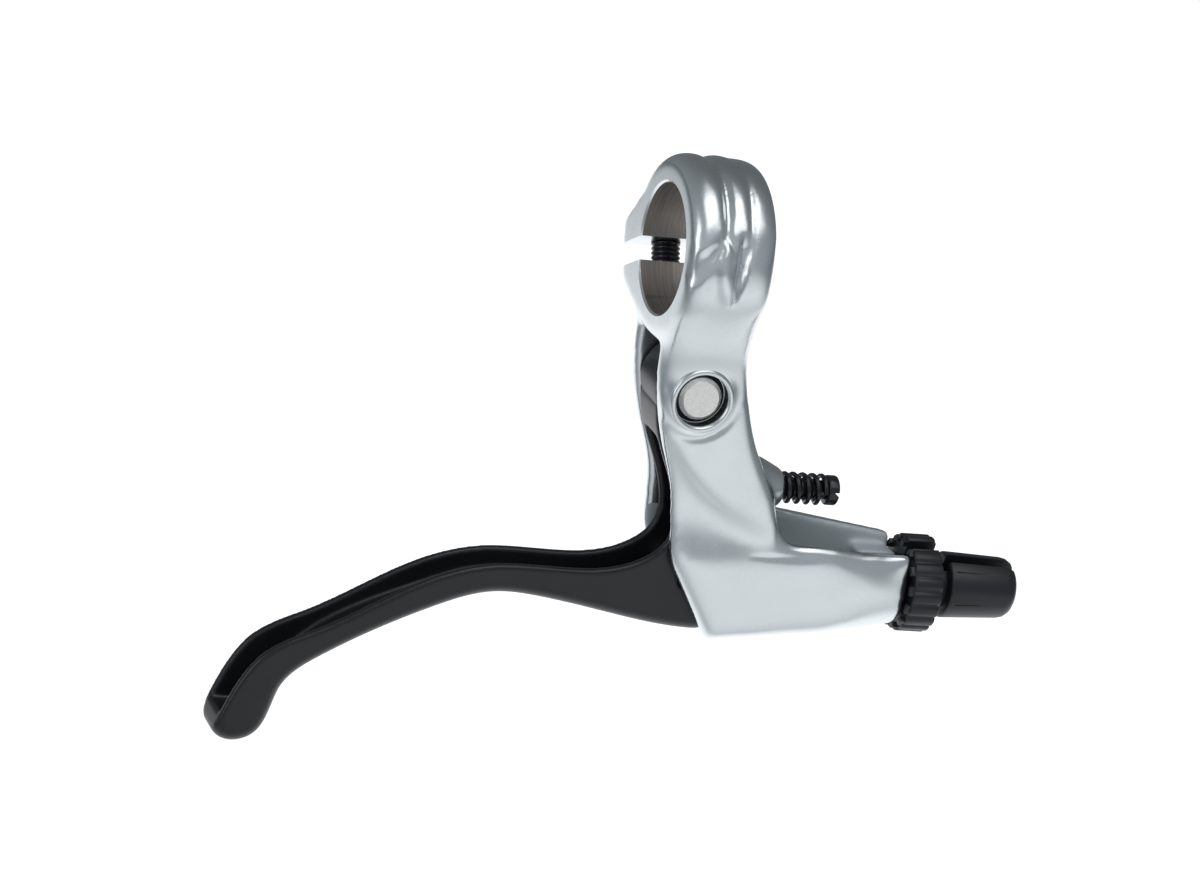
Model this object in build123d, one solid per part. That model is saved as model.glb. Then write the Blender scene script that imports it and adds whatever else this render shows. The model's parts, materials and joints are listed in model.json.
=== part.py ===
"""Bicycle brake lever for a 22.2 mm handlebar, with a barrel cable adjuster and a reach screw.

Millimetres. The origin is on the axis of the handlebar bore, straight over the lever's pivot.
X runs along the handlebar towards the cable outlet, Z points from the lever to the handlebar,
and the pivot axis runs along Y.
"""
import os
from math import cos, hypot, radians, sin

from build123d import *

os.makedirs("parts", exist_ok=True)

# Handlebar clamp: a ring with three ribs, a groove and a shallow crease between them
bar_diameter = 22.2
clamp_x = -0.8
clamp_width = 15.4
rib_radius = 16.2
left_fall = 1.9
groove_depth = 0.75
crease_depth = 0.4
right_rib_fall = 0.3
right_fall = 3.6

# Leaf and pocket in front, where the ring's groove runs out into the neck
leaf_radius = 2.4
leaf_sink = 2.2
leaf_tip_x = 0.2
pocket_radius = 1.4

# Clamp ears and the slot between them, on the rear of the ring
slot_angle = -27.0
slot_width = 4.0
slot_offset = 1.7
ear_width = 12.6
ear_edge = 4.4
upper_ear_height = 5.3
lower_ear_height = 5.0
ear_round = 1.2

# Clamp bolt
bolt_diameter = 5.0
bolt_head_diameter = 8.5
bolt_head_height = 4.2
bolt_head_room = 0.3
bolt_wall = 1.6
bolt_thread_in_ear = 4.4
bolt_seat_height = 2.6
bolt_hex = 4.0
washer_thickness = 0.6
washer_play = 0.2

# Places of the pivot, the reach screw and the cable line below the handlebar
pivot_drop = 23.2
reach_drop = 17.7
cable_drop = 33.7

# Fork of the bracket
lever_width = 10.0
side_play = 0.5
cheek_thickness = 3.0
cheek_round = 2.0
crotch_drop = 15.0
web_thickness = 2.1
neck_left_round = 1.6
neck_right_round = 4.5
neck_rear_round = 3.0
boss_height = 1.0
boss_radius = 5.45
boss_foot_radius = 7.2

# Front cheek: a round shield below the pivot, a trough that runs out along the arm, and a dimple beside it
shield_radius = 36.5
shield_slope = 1.3
trough_depth = 1.5
dimple_radius = 0.75
dimple_stand = 0.35

# Pivot
axle_diameter = 6.0
axle_head_diameter = 7.5
axle_head_recess = 0.4
axle_head_edge = 0.3
counterbore_diameter = 9.2
counterbore_depth = 2.2
bush_wall = 1.0
bush_length = 4.4
bush_flange_diameter = 10.6
bush_flange_thickness = 0.4
pivot_screw_diameter = 4.0
pivot_screw_head_height = 1.3
pivot_screw_length = 7.0
pivot_screw_hex = 3.0
pivot_screw_hex_depth = 1.6

# Arm that carries the cable adjuster
arm_end_x = 44.9
arm_top = 6.9
arm_bottom = 6.3
arm_cone_radius = 7.4
arm_cone_slope = 0.22
arm_cone_start = 22.0
spigot_radius = 5.9
spigot_length = 0.7
arm_floor = 2.4
arm_wall_end = 38.0
arm_slot_width = 2.6

# Reach screw, its boss and its spring
reach_screw_diameter = 3.8
reach_head_diameter = 5.2
reach_head_length = 2.0
reach_boss_diameter = 10.6
reach_boss_end_diameter = 6.2
reach_boss_left = 12.0
reach_boss_shoulder = 16.2
reach_boss_right = 20.8
spring_length = 8.2
spring_wire = 0.85
spring_wire_sides = 6
spring_turns = 4.5
spring_play = 0.1
spring_end_gap = 0.05
reach_tip_taper = 0.9
screw_slot_width = 0.8
screw_slot_depth = 0.9

# Cable adjuster
adjuster_thread_diameter = 8.4
adjuster_head_radius = 5.8
adjuster_end_radius = 5.35
adjuster_head_length = 13.3
adjuster_head_edge = 0.5
adjuster_end_round = 2.4
adjuster_engagement = 6.0
housing_socket_diameter = 5.2
housing_socket_depth = 9.0
cable_hole_diameter = 2.2
cable_slot_width = 2.1
cable_slot_angle = 73.0

# Lock ring
lock_ring_radius = 8.5
lock_ring_width = 5.2
lock_ring_gap = 0.3
ridge_count = 20
ridge_groove_width = 0.6
ridge_groove_depth = 0.45
tooth_count = 14
tooth_height = 0.8
tooth_width = 1.9
tooth_tip_width = 0.9
tooth_inside = 7.1
head_gap = 2.6

# Lever blade
blade_reach = 73.4
blade_drop = 33.6
hub_radius = 6.5
flange_thickness = 1.6
lever_web = 2.0
blade_round = 2.6
heel_x = 12.2
heel_slot_below = 5.6
heel_slot_above = 9.0

# Cable hook in the lever
hook_pin_x = 5.3
hook_pin_diameter = 2.5
hook_pin_recess = 0.1
hook_reach = 6.1
hook_eye_radius = 2.6
hook_wall = 1.2
hook_lip = 2.0
nipple_diameter = 7.2

# Clearances, each measured on the radius or on one side
running_clearance = 0.05
press_clearance = 0.01
hook_side_play = 0.3
tip_clearance = 0.35

pivot_z = -pivot_drop
reach_z = pivot_z - reach_drop
cable_z = pivot_z - cable_drop
fork_half = lever_width / 2 + side_play
cheek_half = fork_half + cheek_thickness
boss_face = cheek_half + boss_height
counterbore_floor = boss_face - counterbore_depth
clamp_left = clamp_x - clamp_width / 2
clamp_right = clamp_x + clamp_width / 2
bar_radius = bar_diameter / 2
bolt_radius = bolt_diameter / 2
axle_radius = axle_diameter / 2
hub_bore = axle_radius + running_clearance + bush_wall + press_clearance
reach_screw_radius = reach_screw_diameter / 2
thread_radius = adjuster_thread_diameter / 2
channel_half = lever_width / 2 - flange_thickness
overcut = 1.0
beyond = 3 * cable_drop


def between(x, share):
    """A point of the side view, at a share of the way from the pivot down to the cable line."""
    return (x, pivot_z - share * cable_drop)


def by_cable(x, rise):
    """A point of the side view, measured from the cable line."""
    return (x, cable_z + rise)


def along_blade(share, drop):
    """A point of the side view, at shares of the blade's reach and of its drop below the cable line."""
    return (-share * blade_reach, cable_z - drop * blade_drop)


def inset(points, distance):
    """Points moved to the right of the direction of travel, square to the line through them."""
    moved = []
    for i, (x, z) in enumerate(points):
        before = points[max(i - 1, 0)]
        after = points[min(i + 1, len(points) - 1)]
        run = after[0] - before[0]
        rise = after[1] - before[1]
        length = hypot(run, rise)
        moved.append((x + distance * rise / length, z - distance * run / length))
    return moved


def side_solid(edges, half_width):
    """A side-view outline given its width, the same both ways from the middle plane."""
    return extrude(Plane.XZ * make_face(edges), half_width, both=True)


def along_y(radius, x, z, y_start, y_end):
    """A round bar along the pivot's direction."""
    start = Plane((x, y_start, z), x_dir=(1, 0, 0), z_dir=(0, 1, 0))
    return extrude(start * Circle(radius), y_end - y_start)


def along_x(radius, z, x_start, x_end):
    """A round bar along the handlebar's direction, in the middle plane."""
    start = Plane((x_start, 0, z), x_dir=(0, 1, 0), z_dir=(1, 0, 0))
    return extrude(start * Circle(radius), x_end - x_start)


def turned_along_x(profile, z):
    """A piece turned about the line along X at height z, from points of place and radius."""
    outline = Plane.XZ * make_face(Polyline(*profile, close=True))
    return Pos(0, 0, z) * revolve(outline, Axis.X)


def block(x_range, y_range, z_range):
    """A box between two places on each axis."""
    low = Vector(x_range[0], y_range[0], z_range[0])
    high = Vector(x_range[1], y_range[1], z_range[1])
    size = high - low
    return Pos((low + high) / 2) * Box(size.X, size.Y, size.Z)


def spindle(start, end, radius):
    """A solid that is pointed at both ends and round in between."""
    run = Vector(*end) - Vector(*start)
    arc = ThreePointArc((0, 0), (radius, run.length / 2), (0, run.length))
    half = Plane.XZ * make_face([arc, Line((0, run.length), (0, 0))])
    return Plane(start, z_dir=run) * revolve(half, Axis.Z)


def cable_view(x, angle):
    """The plane across the cable line at x, its first axis turned from the front towards the bar."""
    outward = Vector(0, -cos(radians(angle)), sin(radians(angle)))
    return Plane((x, 0, cable_z), x_dir=outward, z_dir=(1, 0, 0))


def radial_bar(angle, width, inside, outside, x_start, x_end):
    """A flat bar along the cable line, standing out from it between two radii."""
    face = Pos((inside + outside) / 2, 0) * Rectangle(outside - inside, width)
    return extrude(cable_view(x_start, angle) * face, x_end - x_start)


def save(shape, name):
    export_step(shape, f"parts/{name}.step")


# Frame of the clamp slot: it runs out along `slot_run`, and the bolt stands along `bolt_run`
slot_run = Vector(0, cos(radians(slot_angle)), sin(radians(slot_angle)))
bolt_run = Vector(0, -sin(radians(slot_angle)), cos(radians(slot_angle)))
bolt_x = clamp_left + ear_width / 2
bolt_reach = bar_radius + bolt_radius + bolt_wall
ear_reach = bolt_reach + ear_edge
upper_slot = slot_offset + slot_width / 2
lower_slot = slot_offset - slot_width / 2
ear_top = upper_slot + upper_ear_height
ear_bottom = lower_slot - lower_ear_height
bolt_seat = upper_slot + bolt_seat_height
bolt_end = lower_slot - bolt_thread_in_ear


def slot_view(x):
    """The plane across the handlebar at x, with the slot along its first axis."""
    return Plane((x, 0, 0), x_dir=slot_run, z_dir=(1, 0, 0))


def bolt_view(height):
    """The plane square to the clamp bolt, at a height over the bore's middle."""
    foot = Vector(bolt_x, 0, 0) + slot_run * bolt_reach
    return Plane(foot + bolt_run * height, x_dir=(1, 0, 0), z_dir=bolt_run)


def bolt_bar(radius, low, high):
    """A round bar on the clamp bolt's axis, between two heights over the bore's middle."""
    return extrude(bolt_view(low) * Circle(radius), high - low)


# Bracket: clamp ring, with its ribs, groove and crease at shares of the ring's width
left_rib = (clamp_left + 0.21 * clamp_width, rib_radius)
groove = (clamp_left + 0.38 * clamp_width, rib_radius - groove_depth)
middle_rib = (clamp_left + 0.54 * clamp_width, rib_radius)
crease = (clamp_left + 0.66 * clamp_width, rib_radius - crease_depth)
right_rib = (clamp_left + 0.73 * clamp_width, rib_radius - right_rib_fall)
clamp_face_radius = rib_radius - left_fall
clamp_right_radius = rib_radius - right_fall
ring_outline = [
    Line((clamp_left, 0), (clamp_left, clamp_face_radius)),
    Spline((clamp_left, clamp_face_radius), left_rib, groove, tangents=((0.5, 1), (1, -0.9))),
    Spline(groove, middle_rib, crease, tangents=((1, 0.9), (1, -0.4))),
    Spline(crease, right_rib, (clamp_right, clamp_right_radius), tangents=((1, 0.4), (0.1, -1))),
    Line((clamp_right, clamp_right_radius), (clamp_right, 0)),
    Line((clamp_right, 0), (clamp_left, 0)),
]
clamp_ring = revolve(Plane.XZ * make_face(ring_outline), Axis.X)

# Bracket: the two ears, still in one piece
ear_points = [
    (0, clamp_face_radius),
    (ear_reach - 8.0, ear_top + 1.6),
    (ear_reach - 0.8, ear_top - 1.2),
    (ear_reach, ear_top - 4.0),
    (ear_reach, ear_bottom + 3.0),
    (ear_reach - 3.0, ear_bottom),
    (ear_reach - 8.0, ear_bottom - 4.4),
    (0, 1.0 - clamp_face_radius),
]
ear_face = make_face(Polyline(*ear_points, close=True))
ear_face = fillet(ear_face.vertices().sort_by(Axis.X)[2:], ear_round)
ears = extrude(slot_view(clamp_left) * ear_face, ear_width)

# Bracket: neck between the ring and the fork, through sections of share, left, right, front, rear and
# the share of the right corner's rounding
neck_outlines = [
    (0.0, clamp_left + 0.1, clamp_right - 0.5, rib_radius - 0.4, rib_radius - 3.6, 1.0),
    (0.14, clamp_left + 0.1, clamp_right - 0.2, rib_radius - 0.6, rib_radius - 2.8, 1.0),
    (0.40, clamp_left + 0.3, clamp_right + 0.2, rib_radius - 2.8, rib_radius - 3.7, 0.9),
    (0.66, -7.7, 7.6, cheek_half + 1.8, cheek_half + 1.4, 0.7),
    (0.92, -7.3, 9.0, cheek_half + 0.2, cheek_half + 0.1, 0.5),
]
neck_sections = []
for share, left, right, front, rear, easing in neck_outlines:
    section = Pos((left + right) / 2, (rear - front) / 2) * Rectangle(right - left, front + rear)
    corners = [((left, -front, 0), neck_left_round), ((right, -front, 0), easing * neck_right_round),
               ((left, rear, 0), neck_rear_round), ((right, rear, 0), neck_rear_round)]
    for corner, corner_round in corners:
        section = fillet(section.vertices().sort_by_distance(corner)[0], corner_round)
    neck_sections.append(Plane.XY.offset(-share * pivot_drop) * section)
neck = loft(neck_sections)

# Bracket: a pointed leaf where the groove runs out in front, with a pocket on its right
leaf_y = leaf_sink - rib_radius
leaf_top = (groove[0], leaf_y, 0.38 * rib_radius)
leaf = spindle(leaf_top, (leaf_tip_x, leaf_y, -0.45 * rib_radius), leaf_radius)
pocket_top = (crease[0], -rib_radius, 0.46 * rib_radius)
pocket = spindle(pocket_top, (leaf_tip_x, -rib_radius, -0.4 * rib_radius), pocket_radius)

# Bracket: cheeks and arm, from the outline of the side view
arm_top_left = between(23.5, 0.745)
arm_top_right = by_cable(arm_end_x, arm_top)
arm_low_right = by_cable(arm_end_x, -arm_bottom)
arm_low_left = by_cable(9.7, -10.1)
arm_top_run = (arm_top_right[0] - arm_top_left[0], arm_top_right[1] - arm_top_left[1])
throat = between(0.9, 0.92)
right_edge = [(6.9, -0.5 * pivot_drop), (7.8, -0.75 * pivot_drop), between(9.35, 0.0), between(12.9, 0.28),
              between(16.4, 0.46), between(18.6, 0.61), arm_top_left]
left_edge = [throat, between(-0.4, 0.78), between(-1.35, 0.54), between(-5.0, 0.24), between(-7.2, 0.0),
             (-7.7, -0.5 * pivot_drop)]
cheek_outline = [
    Spline(*right_edge, tangents=((0, -1), arm_top_run)),
    Line(arm_top_left, arm_top_right),
    Line(arm_top_right, arm_low_right),
    Line(arm_low_right, arm_low_left),
    Line(arm_low_left, throat),
    Spline(*left_edge),
    Line(left_edge[-1], right_edge[0]),
]
cheeks = side_solid(cheek_outline, cheek_half)
rims = cheeks.edges().filter_by_position(Axis.Z, -beyond, pivot_z)
rims = [e for e in rims if abs(abs(e.center().Y) - cheek_half) < running_clearance]
cheeks = fillet(rims, cheek_round)

# The arm is turned to a cone towards its end, which carries a spigot for the lock ring
cone_length = arm_end_x - arm_cone_start
cone_start_radius = arm_cone_radius + arm_cone_slope * cone_length
cone = turned_along_x([(arm_cone_start, 0), (arm_cone_start, cone_start_radius),
                       (arm_end_x, arm_cone_radius), (arm_end_x, 0)], cable_z)
arm_stock = block((arm_cone_start, arm_end_x + overcut), (-beyond, beyond), (-beyond, 0))
cheeks = cheeks - (arm_stock - cone)
spigot_end = arm_end_x + spigot_length
spigot = along_x(spigot_radius, cable_z, arm_end_x - overcut, spigot_end)
reach_boss = turned_along_x([(reach_boss_left, 0), (reach_boss_left, reach_boss_diameter / 2),
                             (reach_boss_shoulder, reach_boss_diameter / 2),
                             (reach_boss_right, reach_boss_end_diameter / 2), (reach_boss_right, 0)], reach_z)

# Cavity of the lever between the cheeks, and the cable channel in the arm
web_inside = inset(right_edge[1:4], web_thickness)
crotch_end = (web_inside[0][0] - 1.5, -crotch_drop)
floor_slope = (arm_low_right[1] - arm_low_left[1]) / (arm_low_right[0] - arm_low_left[0])
floor_x = heel_x + 1.6
floor_start = (floor_x, arm_low_left[1] + floor_slope * (floor_x - arm_low_left[0]) + arm_floor)
floor_end = (arm_wall_end, arm_low_left[1] + floor_slope * (arm_wall_end - arm_low_left[0]) + arm_floor)
boss_low = reach_z - reach_boss_diameter / 2
boss_high = reach_z + reach_boss_diameter / 2
channel_start = reach_boss_right + 0.6
cavity_outline = [
    Line((-beyond, -crotch_drop), crotch_end),
    Line(crotch_end, web_inside[0]),
    Spline(*web_inside, (reach_boss_left, boss_high)),
    Polyline((reach_boss_left, boss_high), (reach_boss_left, boss_low), (channel_start, boss_low),
             (channel_start, reach_z), (arm_wall_end, reach_z), floor_end, floor_start,
             (floor_x, -beyond), (-beyond, -beyond), (-beyond, -crotch_drop)),
]
cavity = side_solid(cavity_outline, fork_half)

# Trough in the front cheek: a cone laid against it, which leaves the shield standing
trough_tip = between(33.7, 0.82)
trough_bed = between(0, 0.58)
shield_middle = between(28.0, -0.35)
tip = Vector(trough_tip[0], -cheek_half, trough_tip[1])
bed = (Vector(trough_bed[0], trough_depth - cheek_half, trough_bed[1]) - tip).normalized()
forward = Vector(0, -1, 0)
trough_axis = bed + (forward - bed * forward.dot(bed)).normalized()
on_start = (Align.CENTER, Align.CENTER, Align.MIN)
trough = Plane(tip, z_dir=trough_axis) * Cone(0, beyond, beyond, align=on_start)
shield_start = Plane((shield_middle[0], -2 * cheek_half, shield_middle[1]), z_dir=(0, 1, 0))
shield_flare = shield_slope * cheek_half
shield = shield_start * Cone(shield_radius - shield_flare, shield_radius + shield_flare, 2 * cheek_half, align=on_start)
dimple_y = -cheek_half - dimple_stand
dimple_left, dimple_left_z = between(11.4, 0.83)
dimple_right, dimple_right_z = between(30.2, 0.815)
dimple_start = (dimple_left, dimple_y, dimple_left_z)
dimple = spindle(dimple_start, (dimple_right, dimple_y, dimple_right_z), dimple_radius)

# Raised round the pivot on both sides
bracket = clamp_ring + ears + neck - pocket + leaf
bracket = bracket + (cheeks - (trough - shield) - dimple) + spigot + reach_boss
boss_foot = cheek_half - boss_height / 2
for side in (-1, 1):
    facing = Plane((0, side * boss_foot, pivot_z), x_dir=(1, 0, 0), z_dir=(0, side, 0))
    bracket = bracket + facing * Cone(boss_foot_radius, boss_radius, boss_face - boss_foot, align=on_start)

# Everything that is cut out of the forging
bracket = bracket - cavity
bracket = bracket - along_x(bar_radius, 0, clamp_left - overcut, clamp_right + overcut)
slot_face = Pos(ear_reach, slot_offset) * Rectangle(2 * ear_reach, slot_width)
bracket = bracket - extrude(slot_view(clamp_left - overcut) * slot_face, clamp_width + 2 * overcut)
bracket = bracket - bolt_bar(bolt_radius + running_clearance, ear_bottom - bolt_diameter, bolt_seat + overcut)
bracket = bracket - bolt_bar(bolt_head_diameter / 2 + bolt_head_room, bolt_seat, ear_top + 2 * bolt_head_height)
axle_bore = axle_radius + running_clearance
bracket = bracket - along_y(axle_bore, 0, pivot_z, -boss_face - overcut, boss_face + overcut)
for side in (-1, 1):
    ends = sorted((side * counterbore_floor, side * (boss_face + overcut)))
    bracket = bracket - along_y(counterbore_diameter / 2, 0, pivot_z, *ends)
bracket = bracket - along_x(reach_screw_radius + running_clearance, reach_z, 0, reach_boss_right + overcut)
thread_bore = thread_radius + running_clearance
end_cut = (arm_wall_end - overcut, spigot_end + overcut)
bracket = bracket - along_x(thread_bore, cable_z, *end_cut)
bracket = bracket - block(end_cut, (-arm_slot_width / 2, arm_slot_width / 2), (cable_z, cable_z + 2 * arm_top))
save(bracket, "bracket")

# Clamp bolt with a hexagon socket, and its washer
head_low = bolt_seat + washer_thickness
head_high = head_low + bolt_head_height
bolt = bolt_bar(bolt_radius, bolt_end, head_low) + bolt_bar(bolt_head_diameter / 2, head_low, head_high)
bolt_hex_face = bolt_view(head_high) * RegularPolygon(bolt_hex / 2, 6, major_radius=False)
save(bolt - extrude(bolt_hex_face, -bolt_head_height / 2), "clamp_bolt")
washer = bolt_bar(bolt_head_diameter / 2, bolt_seat, head_low)
save(washer - bolt_bar(bolt_radius + washer_play, bolt_seat - overcut, head_high), "clamp_bolt_washer")

# Pivot axle with a plain round head in front, threaded inside at the rear for its screw
head_face = axle_head_recess - boss_face
axle_end = counterbore_floor - tip_clearance
thread_end = counterbore_floor - pivot_screw_length
axle_head = along_y(axle_head_diameter / 2, 0, pivot_z, head_face, -counterbore_floor)
axle_head = chamfer(axle_head.edges().sort_by(Axis.Y)[0], axle_head_edge)
axle = axle_head + along_y(axle_radius, 0, pivot_z, -counterbore_floor, axle_end)
axle = axle - along_y(pivot_screw_diameter / 2 + running_clearance, 0, pivot_z, thread_end - overcut, boss_face)
save(axle, "pivot_axle")

# Screw and washer that hold the axle from the rear
screw_seat = counterbore_floor + washer_thickness
screw_face = screw_seat + pivot_screw_head_height
screw_head = along_y(axle_head_diameter / 2, 0, pivot_z, screw_seat, screw_face)
screw_head = chamfer(screw_head.edges().sort_by(Axis.Y)[-1], axle_head_edge)
pivot_screw = screw_head + along_y(pivot_screw_diameter / 2, 0, pivot_z, thread_end, screw_seat)
hex_plane = Plane((0, screw_face, pivot_z), x_dir=(1, 0, 0), z_dir=(0, 1, 0))
hex_face = hex_plane * RegularPolygon(pivot_screw_hex / 2, 6, major_radius=False)
save(pivot_screw - extrude(hex_face, -pivot_screw_hex_depth), "pivot_screw")
pivot_washer = along_y(axle_head_diameter / 2, 0, pivot_z, counterbore_floor, screw_seat)
save(pivot_washer - along_y(pivot_screw_diameter / 2 + washer_play, 0, pivot_z, 0, boss_face), "pivot_washer")

# Flanged bushes pressed into the lever's hub from both sides
for side, name in ((-1, "front_bush"), (1, "rear_bush")):
    seat = side * lever_width / 2
    sleeve_ends = sorted((seat, seat - side * bush_length))
    flange_ends = sorted((seat, seat + side * bush_flange_thickness))
    bush = along_y(hub_bore - press_clearance, 0, pivot_z, *sleeve_ends)
    bush = bush + along_y(bush_flange_diameter / 2, 0, pivot_z, *flange_ends)
    save(bush - along_y(axle_radius + running_clearance, 0, pivot_z, -cheek_half, cheek_half), name)

# Lever blade: a channel, open towards the handlebar, from the hub to the ball end
hub_side = between(6.0, 0.04)
heel_back = [hub_side, between(7.0, 0.30), (8.0, reach_z), between(10.6, 0.80), (heel_x, cable_z - 2.0)]
heel_low = by_cable(8.4, -9.7)
underside = [heel_low, along_blade(0.076, 0.238), along_blade(0.279, 0.161), along_blade(0.388, 0.152),
             along_blade(0.523, 0.250), along_blade(0.777, 0.557), along_blade(0.858, 0.759)]
ball_low = along_blade(0.910, 1.0)
ball_tip = along_blade(1.0, 0.964)
rim = [ball_tip, along_blade(0.965, 0.729), along_blade(0.909, 0.536), along_blade(0.790, 0.387),
       along_blade(0.527, 0.065), along_blade(0.388, -0.015), along_blade(0.146, -0.021),
       along_blade(0.046, -0.086), between(0.6, 0.80), between(0.6, 0.62), between(-2.4, 0.40),
       between(-5.9, 0.10)]
heel_down = (0.05, -1)
underside_left = (-1, 0.02)
ball_down = (-0.25, -1)
lever_outline = [
    Spline(*heel_back, tangents=(heel_down, heel_down)),
    Spline(heel_back[-1], heel_low, tangents=(heel_down, underside_left)),
    Spline(*underside, tangents=(underside_left, ball_down)),
    Spline(underside[-1], ball_low, ball_tip, tangents=(ball_down, (-0.6, 1))),
    Spline(*rim),
    Line(rim[-1], hub_side),
]
lever = side_solid(lever_outline, lever_width / 2)
lever_rims = [e for e in lever.edges() if abs(abs(e.center().Y) - lever_width / 2) < running_clearance]
outer_rims = [e for e in lever_rims if e.center().Z < reach_z - blade_round and min(
    (Vector(e.center().X, 0, e.center().Z) - Vector(p[0], 0, p[1])).length for p in rim) > blade_round]
lever = fillet(outer_rims, blade_round)

# The channel leaves a web along the back and the underside, and a flange on each side
back_inside = inset(heel_back[1:], lever_web)
low_inside = inset(underside, lever_web)
ball_floor = along_blade(0.926, 0.872)
rim_outside = inset(rim[1:-1], -blade_round)
channel_outline = [
    Spline(*back_inside),
    Spline(back_inside[-1], low_inside[0], tangents=(heel_down, underside_left)),
    Spline(*low_inside, ball_floor),
    Polyline(ball_floor, (ball_tip[0] - blade_round, ball_floor[1]), *rim_outside,
             between(-hub_radius - blade_round, 0.25), back_inside[0]),
]
lever = lever - side_solid(channel_outline, channel_half)

# Hub, the holes for the bushes and the hook's pin, and the way out for the hook through the heel
lever = lever + along_y(hub_radius, 0, pivot_z, -lever_width / 2, lever_width / 2)
lever = lever - along_y(hub_bore, 0, pivot_z, -lever_width, lever_width)
pin_radius = hook_pin_diameter / 2
lever = lever - along_y(pin_radius + press_clearance, hook_pin_x, cable_z, -lever_width, lever_width)
heel_slot = block((heel_x - 2 * lever_web, heel_x + overcut), (-channel_half, channel_half),
                  (cable_z - heel_slot_below, cable_z + heel_slot_above))
lever = lever - heel_slot
save(lever, "lever_blade")

# Pin across the lever, and the hook that swings on it and takes the cable's nipple
pin_end = lever_width / 2 - hook_pin_recess
save(along_y(pin_radius, hook_pin_x, cable_z, -pin_end, pin_end), "hook_pin")
hook_half = channel_half - hook_side_play
seat_x = hook_pin_x + hook_reach
nipple_radius = nipple_diameter / 2
seat_radius = nipple_radius + hook_wall
hook = along_y(hook_eye_radius, hook_pin_x, cable_z, -hook_half, hook_half)
hook = hook + along_y(seat_radius, seat_x, cable_z, -hook_half, hook_half)
hook = hook + block((hook_pin_x, seat_x), (-hook_half, hook_half),
                    (cable_z - hook_eye_radius, cable_z + hook_lip))
hook = hook - along_y(nipple_radius, seat_x, cable_z, -lever_width, lever_width)
hook = hook - block((seat_x - nipple_radius, seat_x + nipple_radius), (-lever_width, lever_width),
                    (cable_z, cable_z + 2 * seat_radius))
hook = hook - block((seat_x - nipple_radius, seat_x + 2 * seat_radius), (-lever_width, lever_width),
                    (cable_z + hook_lip, cable_z + 2 * seat_radius))
hook = hook - block((seat_x, seat_x + 2 * seat_radius), (-cable_slot_width / 2, cable_slot_width / 2),
                    (cable_z - cable_hole_diameter / 2, cable_z + 2 * seat_radius))
hook = hook - along_y(pin_radius + running_clearance, hook_pin_x, cable_z, -lever_width, lever_width)
save(hook, "cable_hook")

# Reach screw: its tip sets the lever's rest place, and its head holds the spring
screw_tip = heel_back[2][0] + tip_clearance
screw_shoulder = reach_boss_right + spring_length
screw_end = screw_shoulder + reach_head_length
tip_radius = reach_screw_radius - reach_tip_taper
head_radius = reach_head_diameter / 2
reach_screw = turned_along_x([(screw_tip, 0), (screw_tip, tip_radius),
                              (screw_tip + reach_tip_taper, reach_screw_radius),
                              (screw_shoulder, reach_screw_radius), (screw_shoulder, head_radius),
                              (screw_end, head_radius), (screw_end, 0)], reach_z)
screw_slot = block((screw_end - screw_slot_depth, screw_end + overcut), (-2 * head_radius, 2 * head_radius),
                   (reach_z - screw_slot_width / 2, reach_z + screw_slot_width / 2))
save(reach_screw - screw_slot, "reach_screw")

# Spring round the reach screw, between its boss and its head
coil_radius = reach_screw_radius + spring_play + spring_wire / 2
coil_start = reach_boss_right + spring_end_gap + spring_wire / 2
coil_run = spring_length - 2 * spring_end_gap - spring_wire
coil_middle = (coil_start, 0, reach_z)
coil = Helix(coil_run / spring_turns, coil_run, coil_radius, center=coil_middle, direction=(1, 0, 0))
wire = Plane(coil @ 0, z_dir=coil % 0) * RegularPolygon(spring_wire / 2, spring_wire_sides)
save(sweep(wire, path=coil, is_frenet=True), "reach_spring")

# Adjuster barrel: threaded into the arm, hollow for the cable and its housing, slotted along
ring_left = spigot_end + lock_ring_gap
ring_right = ring_left + lock_ring_width
head_left = ring_right + head_gap
head_right = head_left + adjuster_head_length
barrel_left = spigot_end - adjuster_engagement
end_round = []
for angle in (0, 30, 60, 90):
    end_round.append((head_right - adjuster_end_round * (1 - sin(radians(angle))),
                      adjuster_end_radius - adjuster_end_round * (1 - cos(radians(angle)))))
barrel = turned_along_x([(head_left, 0), (head_left, adjuster_head_radius - adjuster_head_edge),
                         (head_left + adjuster_head_edge, adjuster_head_radius), *end_round,
                         (head_right, 0)], cable_z)
barrel = barrel + along_x(thread_radius, cable_z, barrel_left, head_left)
barrel = barrel - along_x(cable_hole_diameter / 2, cable_z, barrel_left - overcut, head_right)
socket_floor = head_right - housing_socket_depth
barrel = barrel - along_x(housing_socket_diameter / 2, cable_z, socket_floor, head_right + overcut)
barrel = barrel - radial_bar(cable_slot_angle, cable_slot_width, 0, lock_ring_radius,
                             barrel_left - overcut, head_right + overcut)
save(barrel, "adjuster_barrel")

# Lock ring: ridged outside, crowned with teeth towards the arm, slotted for the cable
lock_ring = along_x(lock_ring_radius, cable_z, ring_left, ring_right)
ridge_foot_radius = lock_ring_radius - ridge_groove_depth
tooth_points = [(0, -tooth_width / 2), (-tooth_height, -tooth_tip_width / 2),
                (-tooth_height, tooth_tip_width / 2), (0, tooth_width / 2)]
tooth_face = make_face(Polyline(*tooth_points, close=True))
for i in range(tooth_count):
    outward = cable_view(ring_left, cable_slot_angle + (i + 0.5) * 360 / tooth_count).x_dir
    tooth_foot = Plane(Vector(ring_left, 0, cable_z) + outward * tooth_inside, x_dir=(1, 0, 0), z_dir=outward)
    lock_ring = lock_ring + extrude(tooth_foot * tooth_face, ridge_foot_radius - tooth_inside)
for i in range(ridge_count):
    groove_angle = cable_slot_angle + (i + 0.5) * 360 / ridge_count
    lock_ring = lock_ring - radial_bar(groove_angle, ridge_groove_width, ridge_foot_radius,
                                       lock_ring_radius + overcut, ring_left - overcut, ring_right + overcut)
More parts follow.
